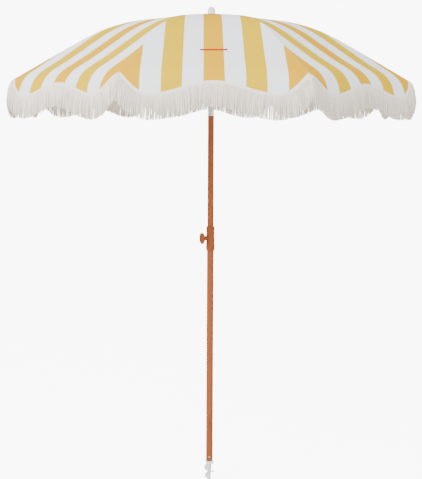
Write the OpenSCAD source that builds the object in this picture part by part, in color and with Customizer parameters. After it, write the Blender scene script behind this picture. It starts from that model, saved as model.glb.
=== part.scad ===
// Fringed beach umbrella: two-part pole with a sand auger, a clamp collar, a tilting knuckle,
// and an eight-rib canopy that folds. Millimetres, +Z up, the pole's axis is Z,
// and the origin is the auger's tip. The front of the canopy faces -Y.

/* [Pole] */
// Outer diameter of the lower pole
lower_d = 32; // [28:0.5:38]
// Outer diameter of the sliding upper tube
mid_d = 29; // [25:0.5:29]
// Wall of the pole tubes
tube_wall = 1.2; // [1:0.1:1.6]
// Height of the collar's lower edge above the auger's tip
collar_z = 1111; // [900:1:1300]
// Height of the clamp collar
collar_h = 115; // [80:1:140]
// Height of the top of the wood-look tube
mid_top = 1745; // [1600:1:1900]

/* [Auger] */
// Length of the auger below the pole
auger_len = 125; // [90:1:200]
// Radius of the auger's blade at its top
blade_r = 24; // [20:1:40]
// Rise of the blade in one turn
blade_pitch = 38; // [30:1:60]

/* [Clamp] */
// Diameter of the clamp knob
knob_d = 54; // [40:1:60]
// Direction that the knob faces, from +X
knob_azimuth = 200; // [160:1:220]

/* [Tilt] */
// Height of the tilt pivot
tilt_z = 1820; // [1800:1:1900]
// Diameter of the chrome tube and its knuckle
chrome_d = 28; // [24:0.5:28]

/* [Canopy] */
// Height of the ribs' crown pivots
crown_z = 2222; // [2100:1:2400]
// Radius of the crown and runner pivots
pivot_r = 20; // [20:0.5:22]
// Diameter of a rib
rib_d = 5; // [4:0.5:5]
// Length of a rib's nearly flat inner part
rib_inner = 320; // [300:5:340]
// Length of a rib's bent middle part
rib_bend = 290; // [260:5:320]
// Length of a rib's outer part
rib_outer = 343; // [300:1:360]
// Distance along the rib of the stretcher bracket
bracket_s = 440; // [400:5:480]
// Thickness of the canopy cloth
cloth_t = 0.8; // [0.8:0.1:2]
// Deepest drop of the scalloped edge below the fold
scallop_deep = 77; // [40:1:90]
// Drop of the scalloped edge at a panel's centre
scallop_mid = 28; // [0:1:60]
// Place of the deepest drop, as a share of the way from a panel's centre to its rib
scallop_peak = 0.68; // [0.4:0.01:0.8]
// Length of the fringe with its heading band
fringe_len = 97; // [60:1:140]

/* [Hidden] */
RIBS = 8;
STEP = 360 / RIBS;
$fn = 48;

lower_r = lower_d / 2;
mid_r = mid_d / 2;
lower_bore = lower_r - tube_wall;
mid_bore = mid_r - tube_wall;
chrome_r = chrome_d / 2;
chrome_bore = chrome_r - tube_wall;
running = 0.08;              // radial clearance of a running fit
slack = 0.3;                 // clearance between faces that only pass each other
lower_top = collar_z + 89;
collar_seat = collar_z - 6;  // the lower tube is turned down a little from here up, inside the collar
seat_r = lower_r - 0.1;
collar_bore = seat_r + 0.02;
collar_top = collar_z + collar_h;
clamp_z = collar_z + 61;
mid_bottom = lower_top - 180;
knuckle_r = 16;              // radius, about the tilt pin, of the upper tube's hollowed end
tongue_t = 11.8;
socket_low = mid_top - 50;
button_z = tilt_z - 24;

// A rib's centre line is three tangent arcs, each [length, slope at its start, slope at its end]
ARCS = [[rib_inner, 6, 9], [rib_bend, 9, 30.5], [rib_outer, 30.5, 32]];
rib_len = rib_inner + rib_bend + rib_outer;
rib_end = rib_len - 13;      // the ribs stop short of the cloth's fold
rib_r = rib_d / 2;
cloth_lift = rib_r + 1.3;    // the cloth's middle surface above a rib's centre line
panel_gap = 1;
sag_fade = 300;              // the panels' sag between the ribs dies out over this length, at the fold
flare = 42;                  // how far out a very deep hanging edge would reach from the fold
s_in = 11;                   // distance along the rib where the panels begin

function arc_radius(a) = a[0] / ((a[2] - a[1]) * PI / 180);
function down(f) = [-sin(f), -cos(f)];
// The point reached from p along arc a after a turn to slope f, as [radius, height]
function arc_at(p, a, f) = p + arc_radius(a) * (down(a[1]) - down(f));
function arc_start(n) = n == 0 ? [pivot_r, crown_z] : arc_at(arc_start(n - 1), ARCS[n - 1], ARCS[n - 1][2]);
function arc_index(s) = s < rib_inner ? 0 : s < rib_inner + rib_bend ? 1 : 2;
function length_before(n) = n == 0 ? 0 : length_before(n - 1) + ARCS[n - 1][0];
function slope_at(s) = let (n = arc_index(s), a = ARCS[n])
    a[1] + (a[2] - a[1]) * (s - length_before(n)) / a[0];
function rib_at(s) = let (n = arc_index(s)) arc_at(arc_start(n), ARCS[n], slope_at(s));
function cloth_at(s, lift) = rib_at(s) - lift * down(slope_at(s));

// The fold linkage: the crown pivot, the bracket pivot and the runner pivot make an isosceles triangle
bracket_drop = 9;
crown_p = [pivot_r, crown_z];
bracket_p = rib_at(bracket_s) + bracket_drop * down(slope_at(bracket_s));
arm = norm(bracket_p - crown_p);
arm_slope = asin((crown_z - bracket_p[1]) / arm);
runner_p = [pivot_r, crown_z - 2 * arm * sin(arm_slope)];

fold_p = cloth_at(rib_len, cloth_lift);
fold_x = fold_p[0] * cos(STEP / 2);
fold_half = fold_p[0] * sin(STEP / 2);

wire_r = 1;
eye_r = 3.4;
eye_bore = 1.25;
eye_t = 4.8;
slot_w = 6;
notch_r = 26;
rivet_r = 1.5;

WOOD = [0.76, 0.45, 0.30];
CHROME = [0.80, 0.81, 0.83];
STEEL = [0.90, 0.90, 0.88];
PLASTIC = [0.93, 0.93, 0.91];
YELLOW = [0.96, 0.82, 0.28];
CREAM = [0.93, 0.90, 0.84];
RED = [0.80, 0.20, 0.10];

function rib_angle(k) = -90 + STEP / 2 + STEP * (k - 1);
function panel_angle(k) = -90 + STEP * (k - 1);

module tube(r, bore, z0, z1) {
    difference() {
        translate([0, 0, z0]) cylinder(r = r, h = z1 - z0);
        translate([0, 0, z0 - 1]) cylinder(r = bore, h = z1 - z0 + 2);
    }
}

// A rod along local Y, centred
module cross(r, h) {
    rotate([90, 0, 0]) cylinder(r = r, h = h, center = true);
}

// Places its children on the clamp's axis: local Z points out along the knob's direction
module on_clamp() {
    translate([0, 0, clamp_z]) rotate([0, 0, knob_azimuth]) rotate([0, 90, 0]) children();
}

module auger_screw_place() {
    translate([0, 0, auger_len + 20]) rotate([0, 0, -90]) rotate([0, 90, 0]) children();
}

module lower_pole() {
    color(WOOD) difference() {
        union() {
            translate([0, 0, auger_len]) cylinder(r = lower_r, h = collar_seat - auger_len);
            translate([0, 0, collar_seat]) cylinder(r = seat_r, h = lower_top - collar_seat);
        }
        translate([0, 0, auger_len - 1]) cylinder(r = lower_bore, h = lower_top - auger_len + 2);
        on_clamp() cylinder(r = 4.4, h = lower_r + 2);
        auger_screw_place() cylinder(r = 2.2, h = lower_r + 2);
    }
}

// Corners of the blade's section at height z: it runs from inside the core to the rim
function blade_rim(z) = 9 + (blade_r - 9) * min(1, max(0, z / (0.55 * auger_len)));
function blade_ring(i, n, z0, z1) =
    let (z = z0 + (z1 - z0) * i / n, a = 360 * (z1 - z) / blade_pitch, rim = blade_rim(z), root = 3.5)
    [[root * cos(a), root * sin(a), z - 1.6], [rim * cos(a), rim * sin(a), z - 0.8],
     [rim * cos(a), rim * sin(a), z + 0.8], [root * cos(a), root * sin(a), z + 1.6]];

// A closed strip through rings of four corners
module strip(rings) {
    n = len(rings) - 1;
    polyhedron(
        points = [for (ring = rings) for (p = ring) p],
        faces = concat(
            [[0, 1, 2, 3]],
            [for (i = [0:n - 1]) for (j = [0:3]) for (t = [0, 1])
                let (a = 4 * i + j, b = 4 * i + (j + 1) % 4) t == 0 ? [a, a + 4, b + 4] : [a, b + 4, b]],
            [[4 * n + 3, 4 * n + 2, 4 * n + 1, 4 * n]]),
        convexity = 6);
}

module sand_auger() {
    plug_h = 42;
    flange_h = 12;
    color(PLASTIC) difference() {
        union() {
            rotate_extrude() polygon([
                [0, 0], [1.5, 1], [6, 40], [11, auger_len - flange_h - 6], [17.4, auger_len - flange_h],
                [17.4, auger_len - 0.05], [lower_bore - 0.05, auger_len - 0.05],
                [lower_bore - 0.05, auger_len + plug_h - 2], [lower_bore - 2, auger_len + plug_h],
                [0, auger_len + plug_h]]);
            strip([for (i = [0:60]) blade_ring(i, 60, 10, auger_len - flange_h - 3)]);
        }
        auger_screw_place() cylinder(r = 1.9, h = lower_r + 2);
    }
}

module auger_screw() {
    color(STEEL) auger_screw_place() {
        translate([0, 0, 4]) cylinder(r = 1.85, h = lower_r - 3.9);
        translate([0, 0, lower_r + 0.1]) cylinder(r1 = 4, r2 = 2.4, h = 1.8);
    }
}

module pole_collar() {
    color(WOOD) difference() {
        union() {
            rotate_extrude() polygon([
                [collar_bore, collar_z], [lower_r + 1, collar_z], [20, collar_z + 9], [20.8, collar_z + 16],
                [20.6, collar_z + 28], [19.2, collar_z + 40], [18.9, collar_top - 20], [19.6, collar_top - 14],
                [19.6, collar_top - 3], [18.6, collar_top], [mid_r + slack, collar_top],
                [mid_r + slack, lower_top + 0.1], [collar_bore, lower_top + 0.1]]);
            intersection() {
                on_clamp() cylinder(r = 10.5, h = 30);
                tube(40, collar_bore, clamp_z - 20, clamp_z + 20);
            }
        }
        on_clamp() cylinder(r = 4.4, h = 32);
        on_clamp() translate([0, 0, 21.5]) cylinder(r = 7.6, h = 10, $fn = 6);
    }
}

module clamp_nut() {
    color(CHROME) on_clamp() difference() {
        translate([0, 0, 21.6]) cylinder(r = 7.5, h = 6.5, $fn = 6);
        translate([0, 0, 20]) cylinder(r = 4.05, h = 10);
    }
}

module clamp_screw() {
    color(CHROME) on_clamp() {
        translate([0, 0, mid_r + 0.5]) cylinder(r = 3.97, h = 24.5);
        translate([0, 0, mid_r + 25]) cylinder(r = 5.6, h = 4, $fn = 6);
    }
}

module clamp_knob() {
    near = 34.3;
    far = 48.5;
    r = knob_d / 2;
    color(WOOD) on_clamp() difference() {
        rotate_extrude() polygon([
            [0, near - 3], [7, near - 3], [8, near], [r - 7, near], [r - 2, near + 2], [r, near + 5],
            [r, far - 6], [r - 2.5, far - 2], [r - 7, far], [12, far - 1], [11, far + 1], [0, far + 1.6]]);
        translate([0, 0, near - 4]) cylinder(r = 4, h = mid_r + 25 - near + 4);
        translate([0, 0, mid_r + 24.95]) cylinder(r = 5.65, h = 4.1, $fn = 6);
        for (i = [0:9]) rotate([0, 0, 36 * i]) translate([r + 6.5, 0, near - 1]) cylinder(r = 8.5, h = 20);
    }
}

module guide_ring() {
    color(PLASTIC) difference() {
        union() {
            translate([0, 0, mid_bottom - 22]) cylinder(r = lower_bore - running, h = 21.9);
            translate([0, 0, mid_bottom - 0.1]) cylinder(r = mid_bore - running, h = 26);
        }
        translate([0, 0, mid_bottom - 30]) cylinder(r = 10, h = 70);
    }
}

module mid_pole() {
    color(WOOD) tube(mid_r, mid_bore, mid_bottom, mid_top);
}

module trim_ring() {
    color([0.25, 0.2, 0.17]) tube(mid_r + 0.1, chrome_r + 0.02, mid_top + 0.02, mid_top + 3);
}

module tilt_socket() {
    reach = knuckle_r - slack;
    slot = tongue_t / 2 + slack;
    color(CHROME) difference() {
        union() {
            translate([0, 0, socket_low]) cylinder(r = mid_bore - 0.02, h = mid_top - socket_low);
            translate([0, 0, mid_top]) cylinder(r = chrome_r, h = tilt_z - mid_top);
            intersection() {
                translate([0, 0, tilt_z - 1]) cylinder(r = chrome_r, h = 20);
                translate([0, 0, tilt_z]) rotate([90, 0, 90]) cylinder(r = reach, h = 60, center = true);
            }
        }
        translate([0, 0, socket_low - 1]) cylinder(r = chrome_bore - 1.2, h = tilt_z - socket_low - 15);
        translate([-slot, -30, tilt_z]) cube([2 * slot, 60, 30]);
        translate([0, 0, tilt_z]) rotate([0, 90, 0]) cylinder(r = chrome_r + 0.6, h = 2 * slot, center = true);
        translate([0, 0, tilt_z]) rotate([0, 90, 0]) cylinder(r = 3, h = 60, center = true);
        translate([0, 0, button_z]) rotate([0, -90, 0]) cylinder(r = 4.2, h = 30);
    }
}

module tilt_pin() {
    color(CHROME) intersection() {
        translate([0, 0, tilt_z]) rotate([0, 90, 0]) cylinder(r = 2.98, h = 60, center = true);
        translate([0, 0, tilt_z - 10]) cylinder(r = chrome_r - 0.1, h = 20);
    }
}

module tilt_button() {
    color(CHROME) intersection() {
        translate([0, 0, button_z]) rotate([0, -90, 0]) union() {
            translate([0, 0, 8]) cylinder(r = 4.12, h = 8);
            translate([0, 0, 7]) cylinder(r = 5.4, h = 2.5);
        }
        translate([0, 0, button_z - 10]) cylinder(r = chrome_r + 0.5, h = 20);
    }
}

// A helical wire from z0 to z1, of six-sided section
module coil_wire(r, wire, z0, z1, turns) {
    sides = 6;
    steps = 14 * turns;
    polyhedron(
        points = [for (i = [0:steps]) for (j = [0:sides - 1])
            let (a = 360 * turns * i / steps, b = 360 * j / sides, q = r + wire * cos(b))
            [q * cos(a), q * sin(a), z0 + (z1 - z0) * i / steps + wire * sin(b)]],
        faces = concat(
            [[for (j = [0:sides - 1]) j]],
            [for (i = [0:steps - 1]) for (j = [0:sides - 1]) for (t = [0, 1])
                let (a = sides * i + j, b = sides * i + (j + 1) % sides)
                t == 0 ? [a, a + sides, b + sides] : [a, b + sides, b]],
            [[for (j = [sides - 1:-1:0]) sides * steps + j]]),
        convexity = 8);
}

module button_spring() {
    color(STEEL) translate([0, 0, button_z]) rotate([0, -90, 0]) coil_wire(3.2, 0.4, -9.5, 6.4, 6);
}

module upper_pole() {
    color(CHROME) difference() {
        union() {
            difference() {
                tube(chrome_r, chrome_bore, tilt_z, crown_z + 3);
                translate([0, 0, tilt_z]) rotate([0, 90, 0]) cylinder(r = knuckle_r, h = 60, center = true);
            }
            intersection() {
                translate([0, 0, tilt_z - 20]) cylinder(r = chrome_bore + 0.1, h = 70);
                union() {
                    translate([-tongue_t / 2, -20, tilt_z]) cube([tongue_t, 40, 45]);
                    translate([0, 0, tilt_z]) rotate([0, 90, 0])
                        cylinder(r = 13.5, h = tongue_t, center = true);
                }
            }
        }
        translate([0, 0, tilt_z]) rotate([0, 90, 0]) cylinder(r = 2.98 + running, h = 60, center = true);
    }
}

// Eight radial slots for the hinged ends
module slots(z0, z1) {
    for (k = [1:RIBS]) rotate([0, 0, rib_angle(k)]) translate([16.2, -slot_w / 2, z0]) cube([20, slot_w, z1 - z0]);
}

module wire_ring(p, r) {
    translate([0, 0, p[1]]) rotate_extrude() translate([p[0], 0]) circle(r = r);
}

module crown_hub() {
    color(PLASTIC) difference() {
        tube(notch_r, chrome_r, crown_z - 12, crown_z + 4.5);
        slots(crown_z - 13, crown_z + 6);
        wire_ring(crown_p, wire_r + 0.05);
    }
}

module crown_wire() {
    color(STEEL) wire_ring(crown_p, wire_r);
}

module finial_cap() {
    base = crown_z + 6.4;
    color(PLASTIC) difference() {
        union() {
            rotate_extrude() polygon([
                [0, base], [18, base], [18.2, base + 4], [17.6, base + 16], [16, base + 24],
                [12.5, base + 30], [7.5, base + 33.4], [0, base + 34.4]]);
            translate([0, 0, crown_z - 20]) cylinder(r = chrome_bore - 0.05, h = base - crown_z + 21);
        }
        translate([0, 0, crown_z - 21]) cylinder(r = 8, h = 22.4);
        translate([0, 0, crown_z]) cylinder(r = 2.5, h = 24);
    }
}

module finial_screw() {
    color(STEEL) {
        translate([0, 0, crown_z + 1]) cylinder(r = 2.45, h = 21);
        translate([0, 0, crown_z - 3.6]) cylinder(r = 5.5, h = 4.9);
    }
}

module top_patch() {
    color(YELLOW) tube(46, chrome_bore, crown_z + 4.8, crown_z + 6.2);
}

module runner() {
    z = runner_p[1];
    color(PLASTIC) difference() {
        rotate_extrude() polygon([
            [mid_r + 0.4, z - 60], [18, z - 60], [19, z - 58], [19, z - 50], [17.8, z - 47], [17.8, z - 18],
            [notch_r, z - 9], [notch_r, z + 6], [24, z + 8], [mid_r + 0.4, z + 8]]);
        slots(z - 5, z + 10);
        wire_ring(runner_p, wire_r + 0.05);
        translate([0, 0, z - 34]) rotate([0, -90, 0]) cylinder(r = 4.4, h = 40);
    }
}

module runner_wire() {
    color(STEEL) wire_ring(runner_p, wire_r);
}

module runner_lock() {
    color(CHROME) translate([0, 0, runner_p[1] - 34]) rotate([0, -90, 0]) {
        translate([0, 0, 16.6]) cylinder(r = 4.3, h = 3.4);
        translate([0, 0, 20]) cylinder(r1 = 4.3, r2 = 3.2, h = 1);
    }
}

// One arc of a rib in the local XZ plane
module rib_arc(n, from, to) {
    a = ARCS[n];
    r = arc_radius(a);
    c = arc_start(n) + r * down(a[1]);
    translate([c[0], 0, c[1]]) rotate([90, 0, 0]) rotate([0, 0, 90 - to])
        rotate_extrude(angle = to - from) translate([r, 0]) circle(r = rib_r);
}

// The sleeve where arc n of a rib begins
module ferrule(n) {
    p = arc_start(n);
    translate([p[0], 0, p[1]]) rotate([0, 90 + ARCS[n][1], 0]) cylinder(r = rib_r + 0.3, h = 16, center = true);
}

module bracket() {
    p = rib_at(bracket_s);
    translate([p[0], 0, p[1]]) rotate([0, slope_at(bracket_s), 0]) {
        translate([-9, -3.9, -3.4]) cube([18, 7.8, 5.3]);
        for (side = [-1, 1]) translate([0, side * 3.3, 0]) rotate([90, 0, 0])
            linear_extrude(height = 1.2, center = true) union() {
                translate([-4, -bracket_drop]) square([8, bracket_drop]);
                translate([0, -bracket_drop]) circle(r = 4);
            }
        translate([0, 0, -bracket_drop]) cross(rivet_r, 9.4);
        for (side = [-1, 1]) translate([0, side * 4.3, -bracket_drop]) cross(2.6, 0.9);
    }
}

module rib(k) {
    tip = rib_at(rib_end);
    slope = slope_at(rib_end);
    color(STEEL) rotate([0, 0, rib_angle(k)]) {
        difference() {
            union() {
                translate([pivot_r, 0, crown_z]) cross(eye_r, eye_t);
                rib_arc(0, ARCS[0][1], ARCS[0][2]);
                rib_arc(1, ARCS[1][1], ARCS[1][2]);
                rib_arc(2, ARCS[2][1], slope);
                for (n = [1, 2]) ferrule(n);
                translate([tip[0], 0, tip[1]]) rotate([0, 90 + slope, 0])
                    translate([0, 0, -14]) cylinder(r = rib_r + 0.4, h = 16);
            }
            translate([pivot_r, 0, crown_z]) cross(eye_bore, 20);
        }
        bracket();
    }
}

module stretcher(k) {
    color(STEEL) rotate([0, 0, rib_angle(k)]) difference() {
        union() {
            translate([runner_p[0], 0, runner_p[1]]) cross(eye_r, eye_t);
            translate([bracket_p[0], 0, bracket_p[1]]) cross(eye_r, eye_t);
            translate([runner_p[0], 0, runner_p[1]]) rotate([0, 90 - arm_slope, 0]) cylinder(r = 2.2, h = arm);
        }
        translate([runner_p[0], 0, runner_p[1]]) cross(eye_bore, 20);
        translate([bracket_p[0], 0, bracket_p[1]]) cross(rivet_r + 0.06, 20);
    }
}

// A point of a panel: u runs from -1 to 1 between its two ribs, s along the ribs
function panel_point(u, s, lift) =
    let (p = cloth_at(s, lift), half = p[0] * sin(STEP / 2) - panel_gap,
        sag = 0.02 * half * (1 - u * u) * min(1, (rib_len - s) / sag_fade))
    [p[0] * cos(STEP / 2) - sag * sin(slope_at(s)), u * half, p[1] - sag * cos(slope_at(s))];

// A closed sheet between two grids of points of the same size
module sheet(top, bottom) {
    rows = len(top);
    cols = len(top[0]);
    size = rows * cols;
    function at(i, j) = i * cols + j;
    rim = concat(
        [for (j = [0:cols - 2]) [at(0, j), at(0, j + 1)]],
        [for (i = [0:rows - 2]) [at(i, cols - 1), at(i + 1, cols - 1)]],
        [for (j = [cols - 1:-1:1]) [at(rows - 1, j), at(rows - 1, j - 1)]],
        [for (i = [rows - 1:-1:1]) [at(i, 0), at(i - 1, 0)]]);
    polyhedron(
        points = concat([for (r = top) for (p = r) p], [for (r = bottom) for (p = r) p]),
        faces = concat(
            [for (i = [0:rows - 2]) for (j = [0:cols - 2]) for (t = [0, 1])
                t == 0 ? [at(i, j), at(i + 1, j), at(i + 1, j + 1)] : [at(i, j), at(i + 1, j + 1), at(i, j + 1)]],
            [for (i = [0:rows - 2]) for (j = [0:cols - 2]) for (t = [0, 1])
                t == 0 ? [at(i, j) + size, at(i + 1, j + 1) + size, at(i + 1, j) + size]
                       : [at(i, j) + size, at(i, j + 1) + size, at(i + 1, j + 1) + size]],
            [for (e = rim) for (t = [0, 1])
                t == 0 ? [e[0], e[1], e[1] + size] : [e[0], e[1] + size, e[0] + size]]),
        convexity = 8);
}

module panel(k) {
    rows = 14;
    cols = 6;
    color(YELLOW) rotate([0, 0, panel_angle(k)]) sheet(
        [for (i = [0:rows]) [for (j = [0:cols])
            panel_point(2 * j / cols - 1, s_in + (rib_len - s_in) * i / rows, cloth_lift + cloth_t / 2)]],
        [for (i = [0:rows]) [for (j = [0:cols])
            panel_point(2 * j / cols - 1, s_in + (rib_len - s_in) * i / rows, cloth_lift - cloth_t / 2)]]);
}

// Drop of the scalloped edge below the fold: none at the ribs, deepest between there and the centre
function scallop(u) = let (a = abs(u))
    a > scallop_peak
        ? scallop_deep * cos(90 * (a - scallop_peak) / (1 - scallop_peak))
        : scallop_mid + (scallop_deep - scallop_mid) * (1 - cos(180 * a / scallop_peak)) / 2;

function edge_out(drop) = flare * (1 - exp(-drop / flare));
// A point of the hanging edge at column u: q is 0 at the fold, 1 at the cloth's hem and 2 at the fringe's end
function edge_point(u, q, wall) =
    let (hem = scallop(u) + 4, drop = min(q, 1) * hem)
    [fold_x + edge_out(drop) + wall, u * (fold_half - 2),
     fold_p[1] - 1.5 - drop - max(0, q - 1) * (fringe_len - 4)];

module valance(k) {
    cols = 24;
    wall = 4;
    color(CREAM) rotate([0, 0, panel_angle(k)]) sheet(
        [for (q = [0, 0.5, 1, 2]) [for (j = [0:cols]) edge_point(2 * j / cols - 1, q, wall / 2)]],
        [for (q = [0, 0.5, 1, 2]) [for (j = [0:cols]) edge_point(2 * j / cols - 1, q, -wall / 2)]]);
}

module front_tape() {
    s = 775;
    p = panel_point(0, s, cloth_lift + cloth_t / 2 + 0.4);
    color(RED) rotate([0, 0, panel_angle(1)]) translate(p) rotate([0, slope_at(s), 0])
        translate([-3.5, -52, 0]) cube([7, 104, 1]);
}

lower_pole();
sand_auger();
auger_screw();
pole_collar();
clamp_nut();
clamp_knob();
clamp_screw();
guide_ring();
mid_pole();
trim_ring();
tilt_socket();
tilt_pin();
tilt_button();
button_spring();
upper_pole();
crown_hub();
crown_wire();
finial_cap();
finial_screw();
top_patch();
runner();
runner_wire();
runner_lock();
front_tape();
for (k = [1:RIBS]) {
    rib(k);
    stretcher(k);
    panel(k);
    valance(k);
}
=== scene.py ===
"""Fringed beach umbrella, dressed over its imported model.

The cloth gores, the scalloped edge with its yarn fringe, the crown cap, the clamp knob and the sand
auger are built here as meshes, and every part carried over from the model gets a finish made of nodes.
All sizes are in metres and all angles in degrees unless a name says otherwise.
"""

from __future__ import annotations

import logging
import math
from dataclasses import dataclass, field
from enum import Enum
from typing import Callable, Sequence

import bmesh
import bpy
from mathutils import Matrix, Vector


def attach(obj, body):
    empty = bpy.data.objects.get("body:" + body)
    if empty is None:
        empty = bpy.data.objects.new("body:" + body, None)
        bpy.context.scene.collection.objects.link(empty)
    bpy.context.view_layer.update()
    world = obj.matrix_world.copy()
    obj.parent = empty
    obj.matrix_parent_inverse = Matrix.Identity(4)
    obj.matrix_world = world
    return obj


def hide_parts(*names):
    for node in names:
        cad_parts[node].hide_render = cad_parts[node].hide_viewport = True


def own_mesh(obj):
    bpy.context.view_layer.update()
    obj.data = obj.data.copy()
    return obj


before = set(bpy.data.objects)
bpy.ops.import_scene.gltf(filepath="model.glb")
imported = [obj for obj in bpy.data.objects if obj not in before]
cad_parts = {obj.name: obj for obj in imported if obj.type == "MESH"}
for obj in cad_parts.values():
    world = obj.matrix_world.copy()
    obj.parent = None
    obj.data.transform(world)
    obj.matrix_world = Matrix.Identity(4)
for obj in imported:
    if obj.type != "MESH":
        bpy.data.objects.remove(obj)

LOG = logging.getLogger("umbrella")
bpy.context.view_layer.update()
RIBS = 8
TAPE_HALF_LENGTH = 0.052
FULL_TURN = 2.0 * math.pi
SHARP_ANGLE = math.radians(55.0)
SAME_PLACE = 1e-6
JUST_PAST = 1e-9

Colour = tuple[float, float, float]
Point = tuple[float, float, float]


# --------------------------------------------------------------------------- node building


class Field:
    """An output socket that takes part in arithmetic: an expression on fields adds Math nodes."""

    def __init__(self, graph: "Graph", socket: bpy.types.NodeSocket) -> None:
        """Wraps one socket of a graph.

        Args:
            graph: The graph that the socket's node is in.
            socket: The output socket.
        """
        self.graph = graph
        self.socket = socket

    def _math(self, operation: str, *values: "Field | float") -> "Field":
        """Adds one Math node on these values."""
        return self.graph.out("ShaderNodeMath", {"operation": operation}, dict(enumerate(values)))

    def __add__(self, other: "Field | float") -> "Field":
        """The sum."""
        return self._math("ADD", self, other)

    __radd__ = __add__

    def __sub__(self, other: "Field | float") -> "Field":
        """The difference."""
        return self._math("SUBTRACT", self, other)

    def __rsub__(self, other: float) -> "Field":
        """The difference, the other way round."""
        return self._math("SUBTRACT", other, self)

    def __mul__(self, other: "Field | float") -> "Field":
        """The product."""
        return self._math("MULTIPLY", self, other)

    __rmul__ = __mul__

    def __truediv__(self, other: "Field | float") -> "Field":
        """The quotient."""
        return self._math("DIVIDE", self, other)

    def __mod__(self, other: float) -> "Field":
        """The remainder, never negative."""
        return self._math("FLOORED_MODULO", self, other)

    def __lt__(self, other: "Field | float") -> "Field":
        """1 where this is the smaller, else 0."""
        return self._math("LESS_THAN", self, other)

    def __gt__(self, other: "Field | float") -> "Field":
        """1 where this is the greater, else 0."""
        return self._math("GREATER_THAN", self, other)

    def __abs__(self) -> "Field":
        """The size without its sign."""
        return self._math("ABSOLUTE", self)

    def floor(self) -> "Field":
        """The whole number at or below."""
        return self._math("FLOOR", self)

    def sine(self) -> "Field":
        """The sine, of radians."""
        return self._math("SINE", self)

    def power(self, exponent: float) -> "Field":
        """This to a power."""
        return self._math("POWER", self, exponent)


class Graph:
    """A node tree, of a material or of geometry, with one method that makes any node."""

    def __init__(self, tree: bpy.types.NodeTree) -> None:
        """Wraps a tree."""
        self.tree = tree

    def add(self, kind: str, settings: dict | None = None, sockets: dict | None = None) -> bpy.types.Node:
        """Adds a node.

        Args:
            kind: The node's type.
            settings: Its properties, set first; "ramp" holds a colour ramp's stops as (place, colour).
            sockets: Values or fields for its inputs, by name or number.

        Returns:
            The node.
        """
        node = self.tree.nodes.new(kind)
        for name, value in (settings or {}).items():
            if name == "ramp":
                self._set_ramp(node.color_ramp, value)
            else:
                setattr(node, name, value)
        for key, value in (sockets or {}).items():
            if isinstance(value, Field):
                self.tree.links.new(value.socket, node.inputs[key])
            else:
                node.inputs[key].default_value = value
        return node

    def out(self, kind: str, settings: dict | None = None, sockets: dict | None = None,
            output: int | str = 0) -> Field:
        """Adds a node and gives one of its outputs as a field."""
        return Field(self, self.add(kind, settings, sockets).outputs[output])

    @staticmethod
    def _set_ramp(ramp: bpy.types.ColorRamp, stops: Sequence[tuple[float, Colour]]) -> None:
        """Sets a colour ramp's stops, in order."""
        while len(ramp.elements) < len(stops):
            ramp.elements.new(1.0)
        for element, (place, colour) in zip(ramp.elements, stops):
            element.position = place
            element.color = (*colour, 1.0)

    def colour_mix(self, factor: Field | float, first: Field | Colour, second: Field | Colour) -> Field:
        """The first colour where factor is 0, the second where it is 1."""
        full = [(*c, 1.0) if isinstance(c, tuple) else c for c in (first, second)]
        return self.out("ShaderNodeMix", {"data_type": "RGBA"}, {0: factor, 6: full[0], 7: full[1]}, 2)

    def noise(self, place: Field, scale: float, detail: float = 3.0, rough: float = 0.5) -> Field:
        """A noise of about 0 to 1."""
        return self.out("ShaderNodeTexNoise", {"noise_dimensions": "3D"},
                        {"Vector": place, "Scale": scale, "Detail": detail, "Roughness": rough})

    def vector(self, operation: str, first: Field, second: Field | Point) -> Field:
        """Arithmetic on two vectors or colours."""
        return self.out("ShaderNodeVectorMath", {"operation": operation}, {0: first, 1: second})

    def stretched(self, place: Field, scale: Point) -> Field:
        """A place scaled along each axis."""
        return self.vector("MULTIPLY", place, scale)

    def scaled(self, vector: Field, by: Field | float) -> Field:
        """A vector or a colour times a number."""
        return self.out("ShaderNodeVectorMath", {"operation": "SCALE"}, {0: vector, "Scale": by})

    def split(self, vector: Field) -> list[Field]:
        """The three parts of a vector."""
        return [Field(self, part) for part in self.add("ShaderNodeSeparateXYZ", sockets={0: vector}).outputs]

    def joined(self, x: Field | float = 0.0, y: Field | float = 0.0, z: Field | float = 0.0) -> Field:
        """A vector of three numbers."""
        return self.out("ShaderNodeCombineXYZ", sockets={0: x, 1: y, 2: z})

    def wave(self, place: Field, pitch: float) -> Field:
        """A sine of -1 to 1 that repeats each pitch metres."""
        return (place * (FULL_TURN / pitch)).sine()

    def first(self, kind: str) -> bpy.types.Node:
        """The first node of a type that the tree already holds."""
        return next(node for node in self.tree.nodes if node.type == kind)


# --------------------------------------------------------------------------- finishes


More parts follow.
